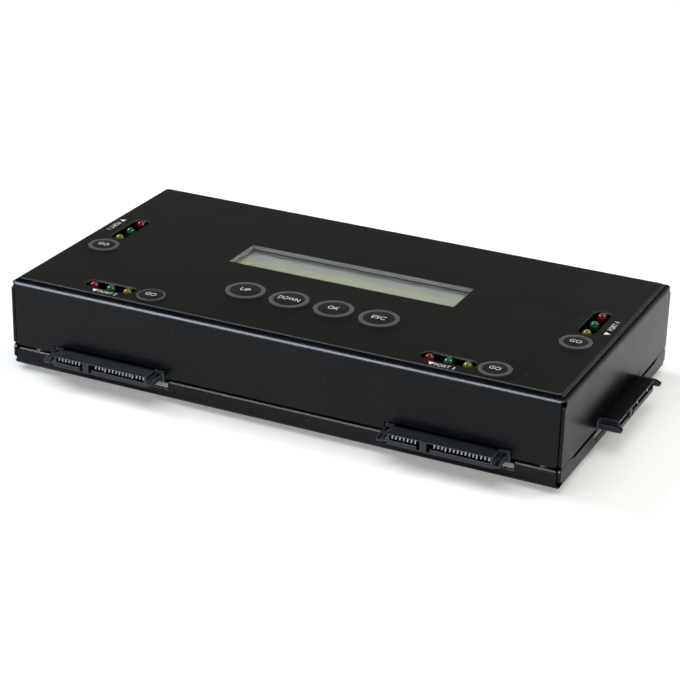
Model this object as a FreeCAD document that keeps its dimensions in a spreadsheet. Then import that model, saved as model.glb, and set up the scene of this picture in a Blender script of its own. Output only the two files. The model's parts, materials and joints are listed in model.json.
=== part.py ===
import FreeCAD, Part
import math
import os
import Sketcher

# A bench-top drive eraser: a folded steel casing with four drive sockets, a
# character display, eight keys and twelve lamps. Millimetres, +Z up, -Y to the
# front. The origin is on the table, under the middle of the whole object.

SIZES = {
    # casing
    "case_width": 193.5,
    "case_depth": 101.2,
    "case_height": 30.6,
    "sheet": 1.0,
    "cover_bend": 2.0,
    "tray_bend": 2.2,
    "seam_height": 6.3,
    "seam_gap": 1.2,
    "rest_gap": 0.1,
    "rest_tab": 8.0,
    "rest_ramp": 4.0,
    "corner_gap": 0.35,
    "corner_relief": 0.9,
    "cover_wall_corner": 1.2,
    "tray_wall_corner": 1.5,
    # feet, pillars and the screws that hold the cover to the tray
    "foot_height": 1.5,
    "foot_radius": 5.0,
    "foot_edge": 0.5,
    "foot_inset_x": 20.0,
    "foot_inset_y": 14.0,
    "pillar_radius": 3.0,
    "pillar_inset": 7.0,
    "pillar_room": 0.6,
    "screw_radius": 1.5,
    "screw_fit": 0.05,
    "screw_hole_room": 0.25,
    "screw_head_radius": 2.75,
    "screw_head_height": 0.9,
    "screw_length": 7.0,
    "recess_length": 3.0,
    "recess_width": 0.8,
    "recess_depth": 0.5,
    # printed film
    "film": 0.4,
    "film_front": 2.1,
    "film_back": 2.2,
    "film_side": 2.1,
    "film_corner": 1.0,
    # display
    "display_y": 55.8,
    "display_width": 82.0,
    "display_depth": 17.2,
    "window_room": 0.15,
    "window_sink": 0.05,
    "window_lip": 1.6,
    "window_lip_thickness": 0.8,
    "stack_gap": 0.05,
    "frame_width": 98.0,
    "frame_depth": 26.0,
    "frame_sheet": 0.6,
    "frame_view_room": 0.6,
    "glass_room": 0.2,
    "glass_thickness": 2.2,
    "display_board_width": 116.0,
    "display_board_depth": 37.0,
    # keys
    "menu_pitch": 15.95,
    "menu_y": 26.9,
    "menu_ring_radius": 6.65,
    "menu_cap_radius": 5.15,
    "go_ring_radius": 5.3,
    "go_cap_radius": 3.95,
    "go_2_ring_radius": 4.75,
    "go_2_cap_radius": 4.15,
    "key_room": 0.3,
    "ring_rise": 0.4,
    "ring_thickness": 1.0,
    "ring_fit": 0.03,
    "ring_edge": 0.12,
    "cap_rise": 0.45,
    "cap_edge": 0.15,
    "cap_dome": 0.15,
    "flange_lip": 0.6,
    "flange_thickness": 0.8,
    "flange_gap": 0.05,
    "stem_radius": 2.0,
    "key_travel": 0.3,
    # key switches
    "switch_size": 6.0,
    "switch_height": 3.5,
    "plunger_radius": 1.75,
    "plunger_fit": 0.08,
    "plunger_rise": 0.8,
    "plunger_sink": 1.0,
    "plunger_room": 0.3,
    # lamps and their slots
    "slot_length": 18.4,
    "side_slot_length": 20.0,
    "slot_width": 6.2,
    "lamp_pitch": 6.3,
    "side_lamp_pitch": 7.2,
    "lamp_radius": 1.5,
    "lamp_flange_radius": 1.9,
    "lamp_flange": 1.0,
    "lamp_height": 5.3,
    "lamp_rise": 0.4,
    "leg_size": 0.5,
    "leg_pitch": 2.54,
    "front_slot_x": 4.4,
    "front_slot_y": 9.2,
    "front_go_x": 10.95,
    "front_go_y": 8.9,
    "side_column_inset": 11.35,
    "side_slot_y": 57.0,
    "side_go_y": 39.4,
    # board behind the panel
    "board": 1.6,
    "panel_depth": 6.7,
    "panel_inset_x": 5.5,
    "panel_front": 4.0,
    "panel_back": 72.0,
    "panel_room": 1.5,
    "panel_corner": 10.5,
    "standoff_radius": 2.5,
    "standoff_from_socket": 23.8,
    "standoff_y_front": 9.0,
    "standoff_inset_side": 8.5,
    "standoff_y_side": 24.0,
    "standoff_from_bay": 7.5,
    "standoff_y_wing": 66.0,
    "display_hole_inset": 2.8,
    "small_screw_radius": 1.25,
    "small_head_radius": 2.2,
    "small_head_height": 1.4,
    "small_screw_length": 5.0,
    "header_width": 26.0,
    "header_depth": 5.0,
    "header_height": 4.0,
    "header_y": 20.0,
    "ribbon_width": 22.0,
    "ribbon_thickness": 0.9,
    # main board
    "board_lift": 3.2,
    "board_room": 0.6,
    "tongue_room": 0.3,
    "tongue_sink": 0.1,
    "lift_radius": 2.5,
    "lift_from_socket": 29.8,
    "lift_y_front": 10.0,
    "lift_inset_side": 18.5,
    "lift_y_side": 22.0,
    "lift_inset_back": 26.5,
    "lift_y_back": 12.0,
    "chip_size": 20.0,
    "chip_height": 1.4,
    "chip_y": 55.0,
    # drive sockets
    "socket_inset": 36.95,
    "side_socket_y": 52.4,
    "socket_rise": 3.9,
    "socket_height": 4.05,
    "mouth_width": 35.0,
    "mouth_reach": 6.0,
    "mouth_edge": 0.3,
    "body_width": 41.0,
    "body_depth": 6.5,
    "ear_width": 1.8,
    "ear_inset": 0.4,
    "ear_height": 1.7,
    "ear_drop": 0.9,
    "ear_reach": 7.8,
    "ear_tip": 0.2,
    "ear_point_run": 1.8,
    "ear_point_drop": 0.8,
    "ear_point_lift": 0.3,
    "slot_roof": 0.45,
    "slot_opening": 1.95,
    "slot_wall": 0.8,
    "slot_depth": 5.5,
    "divider": 1.9,
    "key_notch_width": 1.4,
    "key_notch_depth": 1.2,
    "pin_pitch": 1.27,
    "pin_width": 0.5,
    "pin_sheet": 0.3,
    "pin_tunnel_room": 0.04,
    "pin_bump_height": 1.5,
    "pin_bump_depth": 1.3,
    "pin_bump_run": 1.2,
    "pin_tip_run": 0.4,
    "pin_tip_drop": 1.1,
    "pin_tail": 0.6,
    "pin_foot": 1.2,
    "long_pin_gain": 0.5,
    "tray_cut_width": 44.5,
    "socket_room": 0.4,
    # power inlet
    "jack_inset": 56.75,
    "jack_width": 9.0,
    "jack_depth": 13.5,
    "jack_height": 11.0,
    "jack_axis": 6.5,
    "jack_nose_radius": 4.0,
    "jack_room": 0.2,
    "jack_reach": 0.6,
    "jack_bore_radius": 2.9,
    "jack_bore_depth": 9.5,
    "jack_pin_radius": 1.05,
    "jack_pin_sink": 1.0,
}

doc = FreeCAD.newDocument("drive_eraser")
sheet = doc.addObject("Spreadsheet::Sheet", "size")
for row, (alias, number) in enumerate(SIZES.items(), start=1):
    sheet.set("A%d" % row, alias)
    sheet.set("B%d" % row, str(number))
    sheet.setAlias("B%d" % row, alias)
doc.recompute()


class Size:
    """A length with its number and the sheet expression that gives it."""

    def __init__(self, value, text):
        self.value = value
        self.text = text

    def __add__(self, other):
        other = as_size(other)
        return Size(self.value + other.value, "(%s + %s)" % (self.text, other.text))

    def __sub__(self, other):
        other = as_size(other)
        return Size(self.value - other.value, "(%s - %s)" % (self.text, other.text))

    def __mul__(self, factor):
        factor = as_size(factor)
        return Size(self.value * factor.value, "(%s * %s)" % (self.text, factor.text))

    def __truediv__(self, factor):
        factor = as_size(factor)
        return Size(self.value / factor.value, "(%s / %s)" % (self.text, factor.text))

    def __neg__(self):
        return Size(-self.value, "(0 - %s)" % self.text)

    def __radd__(self, other):
        return as_size(other) + self

    def __rsub__(self, other):
        return as_size(other) - self

    def __rmul__(self, factor):
        return self * factor


def as_size(number):
    if isinstance(number, Size):
        return number
    return Size(float(number), "%.9g" % number if number >= 0 else "(0 - %.9g)" % -number)


class Sheet:
    """Reads each named cell as a Size."""

    def __getattr__(self, alias):
        return Size(float(sheet.get(alias)), "size." + alias)


s = Sheet()
parts = {}


def bind(obj, prop, size):
    obj.setExpression(prop, as_size(size).text)


def place(obj, x=0, y=0, z=0, turn=0, axis=FreeCAD.Vector(0, 0, 1)):
    obj.Placement = FreeCAD.Placement(FreeCAD.Vector(), FreeCAD.Rotation(axis, turn))
    bind(obj, "Placement.Base.x", x)
    bind(obj, "Placement.Base.y", y)
    bind(obj, "Placement.Base.z", z)
    return obj


def box(name, low, high):
    """A block between two opposite corners."""
    obj = place(doc.addObject("Part::Box", name), *low)
    for prop, a, b in zip(("Length", "Width", "Height"), low, high):
        bind(obj, prop, as_size(b) - a)
    return obj


def centred_box(name, x, y, width, depth, low, high):
    """An upright block about a point of the plan."""
    x, y = as_size(x), as_size(y)
    return box(name, (x - width / 2, y - depth / 2, low), (x + width / 2, y + depth / 2, high))


def rod(name, x, y, low, high, radius):
    """An upright cylinder."""
    obj = place(doc.addObject("Part::Cylinder", name), x, y, low)
    bind(obj, "Radius", radius)
    bind(obj, "Height", as_size(high) - low)
    return obj


def fuse(name, shapes):
    obj = doc.addObject("Part::MultiFuse", name)
    obj.Shapes = shapes
    obj.Refine = True
    return obj


def cut(name, base, tools):
    """Takes the tools away one after the other."""
    for tool in tools:
        obj = doc.addObject("Part::Cut", name)
        obj.Base = base
        obj.Tool = tool
        base = obj
    return base


def group(name, members):
    obj = doc.addObject("Part::Compound", name)
    obj.Links = members
    return obj


def fillet(name, base, radius, wanted):
    """Rounds the edges that the test picks."""
    doc.recompute()
    obj = doc.addObject("Part::Fillet", name)
    obj.Base = base
    r = as_size(radius).value
    edges = [(i, r, r) for i, edge in enumerate(base.Shape.Edges, start=1) if wanted(edge)]
    if not edges:
        raise RuntimeError("no edge to round on " + name)
    obj.Edges = edges
    return obj


def near(a, b):
    return abs(a - as_size(b).value) < 1e-4


def all_at(edge, axis, level):
    return all(near(v.Point[axis], level) for v in edge.Vertexes)


def upright(edge):
    a, b = edge.Vertexes[0].Point, edge.Vertexes[-1].Point
    return math.hypot(a.x - b.x, a.y - b.y) < 1e-6


def outline(sketch, points, domes=()):
    """Closes a run of points into a profile. A dome is an arc about the upright axis."""
    points = [(as_size(x), as_size(y)) for x, y in points]
    count = len(points)
    for i in range(count):
        x0, y0 = (p.value for p in points[i])
        x1, y1 = (p.value for p in points[(i + 1) % count])
        if i in domes:
            middle = (x0 * x0 + y0 * y0 - x1 * x1 - y1 * y1) / (2 * (y0 - y1))
            circle = Part.Circle(
                FreeCAD.Vector(0, middle, 0), FreeCAD.Vector(0, 0, 1), math.hypot(x0, y0 - middle)
            )
            start = math.atan2(y0 - middle, x0)
            end = math.atan2(y1 - middle, x1)
            sketch.addGeometry(Part.ArcOfCircle(circle, start, end))
        else:
            sketch.addGeometry(
                Part.LineSegment(FreeCAD.Vector(x0, y0, 0), FreeCAD.Vector(x1, y1, 0))
            )
    for i in range(count):
        sketch.addConstraint(Sketcher.Constraint("Coincident", i, 2, (i + 1) % count, 1))
        if i in domes:
            sketch.addConstraint(Sketcher.Constraint("PointOnObject", i, 3, -2))
    for i, (x, y) in enumerate(points):
        for kind, size in (("DistanceX", x), ("DistanceY", y)):
            number = sketch.addConstraint(Sketcher.Constraint(kind, -1, 1, i, 1, size.value))
            bind(sketch, "Constraints[%d]" % number, size)


def turned(name, points, domes=(), edge_radius=None, round_edge=None):
    """A body of revolution about its own upright axis, with one edge rounded if asked."""
    body = doc.addObject("PartDesign::Body", name)
    sketch = body.newObject("Sketcher::SketchObject", name + "_profile")
    plane = [f for f in body.Origin.OriginFeatures if f.Role == "XZ_Plane"][0]
    sketch.AttachmentSupport = (plane, [""])
    sketch.MapMode = "FlatFace"
    outline(sketch, points, domes)
    spin = body.newObject("PartDesign::Revolution", name + "_spin")
    spin.Profile = sketch
    spin.ReferenceAxis = (sketch, ["V_Axis"])
    spin.Angle = 360
    if round_edge:
        doc.recompute()
        picked = [
            "Edge%d" % i for i, e in enumerate(spin.Shape.Edges, start=1) if round_edge(e)
        ]
        softened = body.newObject("PartDesign::Fillet", name + "_edge")
        softened.Base = (spin, picked)
        bind(softened, "Radius", edge_radius)
    return body


def keep(label, obj):
    obj.Label = label
    parts[label] = obj
    return obj


# Levels and planes that several pieces share.
front = (s.ear_reach - s.jack_reach - s.case_depth) / 2
back = front + s.case_depth
right = s.case_width / 2
left = -right
floor_low = s.foot_height
floor_top = floor_low + s.sheet
tray_rim = floor_low + s.seam_height
cover_rim = tray_rim + s.seam_gap
tab_top = cover_rim - s.rest_gap
cover_top = floor_low + s.case_height
cover_under = cover_top - s.sheet
face = cover_top + s.film
board_low = floor_top + s.board_lift
board_top = board_low + s.board
panel_top = cover_under - s.panel_depth
panel_low = panel_top - s.board
socket_top = board_top + s.socket_rise
socket_low = socket_top - s.socket_height
ear_x = s.body_width / 2
side_column = right - s.side_column_inset
socket_x = right - s.socket_inset
jack_x = right - s.jack_inset
jack_z = board_top + s.jack_axis

# The four ports: where each socket stands and which side of the casing it faces.
PORTS = {
    "port_1": (left, front + s.side_socket_y, "left"),
    "port_2": (-socket_x, front, "front"),
    "port_3": (socket_x, front, "front"),
    "port_4": (right, front + s.side_socket_y, "right"),
}


def side_turn(side):
    """The turn, in degrees, from the front wall to the wall on this side."""
    return {"left": -90, "front": 0, "right": 90}[side]


# The middle of each lamp slot, and whether the slot runs along the side.
SLOTS = {
    "port_1": (-side_column, front + s.side_slot_y, True),
    "port_2": (-socket_x - s.front_slot_x, front + s.front_slot_y, False),
    "port_3": (socket_x - s.front_slot_x, front + s.front_slot_y, False),
    "port_4": (side_column, front + s.side_slot_y, True),
}

# The keys: place, ring radius and cap radius.
menu_y = front + s.menu_y
menu = (s.menu_ring_radius, s.menu_cap_radius)
go = (s.go_ring_radius, s.go_cap_radius)
KEYS = {
    "up": (s.menu_pitch * -1.5, menu_y) + menu,
    "down": (s.menu_pitch * -0.5, menu_y) + menu,
    "ok": (s.menu_pitch * 0.5, menu_y) + menu,
    "esc": (s.menu_pitch * 1.5, menu_y) + menu,
    "go_1": (-side_column, front + s.side_go_y) + go,
    "go_2": (
        -socket_x + s.front_go_x,
        front + s.front_go_y,
        s.go_2_ring_radius,
        s.go_2_cap_radius,
    ),
    "go_3": (socket_x + s.front_go_x, front + s.front_go_y) + go,
    "go_4": (side_column, front + s.side_go_y) + go,
}


def corners(inset_x, inset_y):
    """The four points that lie this far inside the casing's corners."""
    return [
        (sign * (right - inset_x), y)
        for sign in (-1, 1)
        for y in (front + inset_y, back - inset_y)
    ]


# Every opening of the top face, cut through both the cover and the film.
hole_low = cover_under - s.sheet
hole_high = face + s.film
openings = [
    centred_box(
        "display_opening",
        0,
        front + s.display_y,
        s.display_width,
        s.display_depth,
        hole_low,
        hole_high,
    )
]
for port, (x, y, along_side) in SLOTS.items():
    length = s.side_slot_length if along_side else s.slot_length
    straight = (length - s.slot_width) / 2
    dx, dy = (0, straight) if along_side else (straight, 0)
    width, depth = (
        (s.slot_width, straight * 2) if along_side else (straight * 2, s.slot_width)
    )
    openings.append(centred_box(port + "_slot", x, y, width, depth, hole_low, hole_high))
    for sign in (-1, 1):
        openings.append(
            rod(
                port + "_slot_end",
                x + as_size(dx) * sign,
                y + as_size(dy) * sign,
                hole_low,
                hole_high,
                s.slot_width / 2,
            )
        )
for key, (x, y, ring, cap) in KEYS.items():
    openings.append(rod(key + "_hole", x, y, hole_low, hole_high, ring + s.key_room))
face_openings = fuse("face_openings", openings)


def corner_cuts(name, low, high, relief_z):
    """The open seam up each corner of a folded shell, and the relief where its bends meet."""
    cuts = []
    reach = s.sheet + s.corner_relief * 3
    for sx in (-1, 1):
        inner, outer = right - s.sheet - s.corner_gap, right - s.sheet
        x0, x1 = (inner, outer) if sx > 0 else (-outer, -inner)
        for sy, wall in ((-1, front), (1, back)):
            cuts.append(
                box(name + "_seam", (x0, wall - s.sheet, low), (x1, wall + s.sheet, high))
            )
            hole = doc.addObject("Part::Cylinder", name + "_relief")
            turn = FreeCAD.Rotation(FreeCAD.Vector(0, 0, 1), FreeCAD.Vector(sx, sy, 0))
            place(hole, sx * (right - reach / 2), wall - sy * (reach / 2), relief_z)
            hole.Placement.Rotation = turn
            bind(hole, "Radius", s.corner_relief)
            bind(hole, "Height", reach)
            cuts.append(hole)
    return cuts


def wall_end(edge, level):
    """An edge through the sheet at the free corner of a wall."""
    if not all_at(edge, 2, level) or not near(edge.Length, s.sheet):
        return False
    a, b = (v.Point for v in edge.Vertexes)
    if near(a.x, b.x):
        return near(abs(a.x), right - s.sheet - s.corner_gap)
    return near(a.y, front) or near(a.y, back)


def socket_cuts(name, half_width, low, high):
    """The notch in each wall that has a socket."""
    cuts = []
    for port, (x, y, side) in PORTS.items():
        a, b = (half_width, s.sheet * 2) if side == "front" else (s.sheet * 2, half_width)
        cuts.append(box(name + "_" + port, (x - a, y - b, low), (x + a, y + b, high)))
    return cuts


# Top cover: a box of sheet, open below, with rounded bends.
shell = box("cover_block", (left, front, cover_rim), (right, back, cover_top))
shell = fillet("cover_outside", shell, s.cover_bend, lambda e: all_at(e, 2, cover_top))
hollow = box(
    "cover_hollow",
    (left + s.sheet, front + s.sheet, cover_rim - s.sheet),
    (right - s.sheet, back - s.sheet, cover_under),
)
hollow = fillet(
    "cover_inside", hollow, s.cover_bend - s.sheet, lambda e: all_at(e, 2, cover_under)
)
jack_hole = doc.addObject("Part::Cylinder", "jack_hole")
place(jack_hole, jack_x, back + s.sheet, jack_z, 90, FreeCAD.Vector(1, 0, 0))
bind(jack_hole, "Radius", s.jack_nose_radius + s.jack_room)
bind(jack_hole, "Height", s.sheet * 3)
cover_tools = [hollow, face_openings, jack_hole]
cover_tools += corner_cuts(
    "cover", cover_rim - s.sheet, cover_top - s.cover_bend, cover_top - s.cover_bend
)
cover_tools += socket_cuts(
    "cover_notch", ear_x + s.socket_room, cover_rim - s.sheet, socket_top + s.socket_room
)
cover = cut("cover_cut", shell, cover_tools)
keep(
    "top_cover",
    fillet("cover", cover, s.cover_wall_corner, lambda e: wall_end(e, cover_rim)),
)

# Bottom tray: low walls, left higher near the corners of the two sides, where the
# cover rests.
shell = box("tray_block", (left, front, floor_low), (right, back, tab_top))
shell = fillet("tray_outside", shell, s.tray_bend, lambda e: all_at(e, 2, floor_low))
hollow = box(
    "tray_hollow",
    (left + s.sheet, front + s.sheet, floor_top),
    (right - s.sheet, back - s.sheet, tab_top + s.sheet),
)
hollow = fillet("tray_inside", hollow, s.tray_bend - s.sheet, lambda e: all_at(e, 2, floor_top))
tray_tools = [hollow]
tray_tools += corner_cuts("tray", floor_low + s.tray_bend, tab_top + s.sheet, floor_low + s.tray_bend)
tray_tools += socket_cuts(
    "tray_notch", s.tray_cut_width / 2, board_low - s.socket_room, tab_top + s.sheet
)
for name, wall in (("front", front), ("back", back)):
    inner = right - s.sheet - s.corner_gap
    tray_tools.append(
        box(
            "tray_rim_" + name,
            (-inner, wall - s.sheet * 1.5, tray_rim),
            (inner, wall + s.sheet * 1.5, tab_top + s.sheet),
        )
    )
lowered = doc.addObject("Sketcher::SketchObject", "tray_side_rim")
lowered.Placement = FreeCAD.Placement(
    FreeCAD.Vector(), FreeCAD.Rotation(FreeCAD.Vector(1, 1, 1), 120)
)
slope = (tab_top + s.sheet - tray_rim) / (tab_top - tray_rim) * s.rest_ramp
near_end, far_end = front + s.rest_tab + s.rest_ramp, back - s.rest_tab - s.rest_ramp
outline(
    lowered,
    [
        (near_end, tray_rim),
        (far_end, tray_rim),
        (far_end + slope, tab_top + s.sheet),
        (near_end - slope, tab_top + s.sheet),
    ],
)
side_rims = doc.addObject("Part::Extrusion", "tray_side_rims")
side_rims.Base = lowered
side_rims.DirMode = "Custom"
side_rims.Dir = FreeCAD.Vector(1, 0, 0)
side_rims.Solid = True
bind(side_rims, "LengthFwd", s.case_width + s.sheet * 2)
place(side_rims, left - s.sheet)
tray_tools.append(side_rims)
for x, y in corners(s.pillar_inset, s.pillar_inset):
    tray_tools.append(
        rod(
            "tray_screw_hole",
            x,
            y,
            floor_low - s.sheet,
            floor_top + s.sheet,
            s.screw_radius + s.screw_hole_room,
        )
    )
tray = cut("tray_cut", shell, tray_tools)
keep(
    "bottom_tray",
    fillet(
        "tray",
        tray,
        s.tray_wall_corner,
        lambda e: wall_end(e, tray_rim) or wall_end(e, tab_top),
    ),
)

# Printed film over the top face.
film = box(
    "film_block",
    (left + s.film_side, front + s.film_front, cover_top),
    (right - s.film_side, back - s.film_back, face),
)
film = fillet("film_corners", film, s.film_corner, upright)
keep("graphic_overlay", cut("film", film, [face_openings]))

# Clear window: fills the opening and is held by a lip under the cover.
display_y = front + s.display_y
lip_top = cover_under - s.stack_gap
lip_low = lip_top - s.window_lip_thickness
pane = centred_box(
    "window_pane",
    0,
    display_y,
    s.display_width - s.window_room * 2,
    s.display_depth - s.window_room * 2,
    lip_low,
    face - s.window_sink,
)
lip = centred_box(
    "window_lip",
    0,
    display_y,
    s.display_width + s.window_lip * 2,
    s.display_depth + s.window_lip * 2,
    lip_low,
    lip_top,
)
keep("display_window", fuse("window", [pane, lip]))

# Display: folded frame, glass, light block and board, stacked under the window.
frame_top = lip_low - s.stack_gap
glass_top = frame_top - s.frame_sheet
glass_low = glass_top - s.glass_thickness
inner_width = s.frame_width - s.frame_sheet * 2
inner_depth = s.frame_depth - s.frame_sheet * 2
frame = centred_box(
    "frame_block", 0, display_y, s.frame_width, s.frame_depth, panel_top, frame_top
)
frame_room = centred_box(
    "frame_room", 0, display_y, inner_width, inner_depth, panel_top - s.board, glass_top
)
frame_view = centred_box(
    "frame_view",
    0,
    display_y,
    s.display_width + s.frame_view_room * 2,
    s.display_depth + s.frame_view_room * 2,
    glass_low,
    frame_top + s.frame_sheet,
)
keep("display_frame", cut("frame", frame, [frame_room, frame_view]))
for label, low, high in (
    ("display_glass", glass_low, glass_top),
    ("display_light_block", panel_top, glass_low),
):
    keep(
        label,
        centred_box(
            label,
            0,
            display_y,
            inner_width - s.glass_room * 2,
            inner_depth - s.glass_room * 2,
            low,
            high,
        ),
    )

# Keys. Each cap carries its ring on a shoulder, is kept in by a flange under the
# cover and stands on the plunger of its own switch.
ring_top = face + s.ring_rise
ring_low = ring_top - s.ring_thickness
cap_brow = face + s.cap_rise
flange_top = cover_under - s.flange_gap
flange_low = flange_top - s.flange_thickness
housing_top = panel_top + s.switch_height
plunger_top = housing_top + s.plunger_rise
housings = []
for key, (x, y, ring, cap) in KEYS.items():
    flange = ring + s.key_room + s.flange_lip
    stem = [
        (0, plunger_top),
        (s.stem_radius, plunger_top),
        (s.stem_radius, flange_low),
        (flange, flange_low),
        (flange, flange_top),
        (ring, flange_top),
        (ring, ring_low),
        (cap, ring_low),
        (cap, cap_brow),
        (0, cap_brow + s.cap_dome),
    ]
    body = turned(
        key + "_key_cap",
        stem,
        domes=(8,),
        edge_radius=s.cap_edge,
        round_edge=lambda e, r=cap: all_at(e, 2, cap_brow) and near(e.BoundBox.XMax, r),
    )
    keep(key + "_key_cap", place(body, x, y))
    bore = cap + s.ring_fit
    body = turned(
        key + "_key_ring",
        [(bore, ring_low), (ring, ring_low), (ring, ring_top), (bore, ring_top)],
        edge_radius=s.ring_edge,
        round_edge=lambda e, r=ring: all_at(e, 2, ring_top) and near(e.BoundBox.XMax, r),
    )
    keep(key + "_key_ring", place(body, x, y))
    keep(
        key + "_switch_plunger",
        rod(
            key + "_switch_plunger",
            x,
            y,
            housing_top - s.plunger_sink,
            plunger_top,
            s.plunger_radius,
        ),
    )
    block = centred_box(
        key + "_housing_block", x, y, s.switch_size, s.switch_size, panel_top, housing_top
    )
    bore = rod(
        key + "_housing_bore",
        x,
        y,
        housing_top - s.plunger_sink - s.key_travel - s.plunger_room,
        housing_top + s.plunger_rise,
        s.plunger_radius + s.plunger_fit,
    )
    housings.append(cut(key + "_housing", block, [bore]))
keep("switch_housings", group("housings", housings))

# Lamps: three at each port, on wire legs that stand on the panel board.
lamp_top = face + s.lamp_rise
lamp_low = lamp_top - s.lamp_height
lamp_profile = [
    (0, lamp_low),
    (s.lamp_flange_radius, lamp_low),
    (s.lamp_flange_radius, lamp_low + s.lamp_flange),
    (s.lamp_radius, lamp_low + s.lamp_flange),
    (s.lamp_radius, lamp_top - s.lamp_radius),
    (0, lamp_top),
]
lamps = {"yellow": [], "green": [], "red": []}
legs = []
for port, (x, y, along_side) in SLOTS.items():
    order = ("yellow", "green", "red") if along_side else ("red", "green", "yellow")
    pitch = s.side_lamp_pitch if along_side else s.lamp_pitch
    for step, colour in zip((-1, 0, 1), order):
        offset = pitch * step
        lamp_x, lamp_y = (x, y + offset) if along_side else (x + offset, y)
        lamp = turned("%s_%s_lamp" % (port, colour), lamp_profile, domes=(4,))
        lamps[colour].append(place(lamp, lamp_x, lamp_y))
        for sign in (-1, 1):
            shift = s.leg_pitch / 2 * sign
            leg_x, leg_y = (lamp_x, lamp_y + shift) if along_side else (lamp_x + shift, lamp_y)
            legs.append(
                centred_box(
                    "lamp_leg", leg_x, leg_y, s.leg_size, s.leg_size, panel_top, lamp_low
                )
            )
for colour, members in lamps.items():
    keep(colour + "_lamps", group(colour + "_lamp_group", members))
keep("lamp_legs", group("lamp_leg_group", legs))

# Boards under the cover: one for the keys and lamps, with a bay for the display's own.
hang_points = [
    (sign * (socket_x - s.standoff_from_socket), front + s.standoff_y_front)
    for sign in (-1, 1)
]
hang_points += [
    (sign * (right - s.standoff_inset_side), front + s.standoff_y_side) for sign in (-1, 1)
]
bay_side = s.display_board_width / 2 + s.panel_room
hang_points += [
    (sign * (bay_side + s.standoff_from_bay), front + s.standoff_y_wing) for sign in (-1, 1)
]
display_points = [
    (
        sx * (s.display_board_width / 2 - s.display_hole_inset),
        display_y + sy * (s.display_board_depth / 2 - s.display_hole_inset),
    )
    for sx in (-1, 1)
    for sy in (-1, 1)
]


def screw_holes(name, points, low, high, radius):
    return [rod(name, x, y, low - s.board, high + s.board, radius) for x, y in points]


small_hole = s.small_screw_radius + s.screw_hole_room
panel_right = right - s.panel_inset_x
panel_edge = front + s.panel_front
panel_tools = screw_holes("panel_hole", hang_points, panel_low, panel_top, small_hole)
panel_tools.append(
    box(
        "display_bay",
        (
            -bay_side,
            display_y - s.display_board_depth / 2 - s.panel_room,
            panel_low - s.board,
        ),
        (
            bay_side,
            back,
            panel_top + s.board,
        ),
    )
)
for sign in (-1, 1):
    near_x, far_x = panel_right - s.panel_corner, right
    x0, x1 = (near_x, far_x) if sign > 0 else (-far_x, -near_x)
    panel_tools.append(
        box(
            "panel_corner",
            (x0, front, panel_low - s.board),
            (x1, panel_edge + s.panel_corner, panel_top + s.board),
        )
    )
panel = box(
    "panel_block",
    (-panel_right, panel_edge, panel_low),
    (panel_right, front + s.panel_back, panel_top),
)
keep("panel_board", cut("panel", panel, panel_tools))
display_board = centred_box(
    "display_board_block",
    0,
    display_y,
    s.display_board_width,
    s.display_board_depth,
    panel_low,
    panel_top,
)
keep(
    "display_board",
    cut(
        "display_board_cut",
        display_board,
        screw_holes("display_hole", display_points, panel_low, panel_top, small_hole),
    ),
)


def sleeve(name, x, y, low, high, radius, bore):
    """An upright threaded spacer."""
    outside = rod(name + "_outside", x, y, low, high, radius)
    hole = rod(name + "_bore", x, y, low - s.sheet, high + s.sheet, bore)
    return cut(name, outside, [hole])


def screw(name, x, y, seat, up, radius, length, head_radius, head_height):
    """A pan-head screw, its head outside the seat and its shank pointing up or down."""
    shank_end = seat + length if up else seat - length
    head_end = seat - head_height if up else seat + head_height
    shank = rod(name + "_shank", x, y, *(sorted((seat, shank_end), key=lambda v: v.value)), radius)
    head = rod(
        name + "_head", x, y, *(sorted((seat, head_end), key=lambda v: v.value)), head_radius
    )
    return fuse(name, [shank, head])


small_bore = s.small_screw_radius + s.screw_fit
keep(
    "panel_standoffs",
    group(
        "panel_standoff_group",
        [
            sleeve("panel_standoff", x, y, panel_top, cover_under, s.standoff_radius, small_bore)
            for x, y in hang_points + display_points
        ],
    ),
)
keep(
    "panel_screws",
    group(
        "panel_screw_group",
        [
            screw(
                "panel_screw",
                x,
                y,
                panel_low,
                True,
                s.small_screw_radius,
                s.small_screw_length,
                s.small_head_radius,
                s.small_head_height,
            )
            for x, y in hang_points + display_points
        ],
    ),
)

# Main board on the tray, with holes round the pillars and a tongue under each socket
# that reaches through the wall's notch.
lift_points = [
    (sign * (socket_x - s.lift_from_socket), front + s.lift_y_front) for sign in (-1, 1)
]
lift_points += [
    (sign * (right - s.lift_inset_side), front + s.lift_y_side) for sign in (-1, 1)
]
lift_points += [
    (sign * (right - s.lift_inset_back), back - s.lift_y_back) for sign in (-1, 1)
]
board_edge = s.sheet + s.board_room
main_outline = [
    box(
        "main_block",
        (left + board_edge, front + board_edge, board_low),
        (right - board_edge, back - board_edge, board_top),
    )
]
tongue = s.tray_cut_width / 2 - s.tongue_room
for port, (x, y, side) in PORTS.items():
    blade = box(
        port + "_tongue",
        (-tongue, s.tongue_sink, board_low),
        (tongue, board_edge + s.board, board_top),
    )
    main_outline.append(place(group(port + "_tongue_place", [blade]), x, y, 0, side_turn(side)))
main_board = fuse("main_outline", main_outline)
pillar_points = corners(s.pillar_inset, s.pillar_inset)
board_tools = screw_holes("main_hole", lift_points, board_low, board_top, small_hole)
board_tools += screw_holes(
    "pillar_hole", pillar_points, board_low, board_top, s.pillar_radius + s.pillar_room
)
keep("main_board", cut("main", main_board, board_tools))
keep(
    "board_standoffs",
    group(
        "board_standoff_group",
        [
            sleeve("board_standoff", x, y, floor_top, board_low, s.lift_radius, small_bore)
            for x, y in lift_points
        ],
    ),
)
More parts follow.
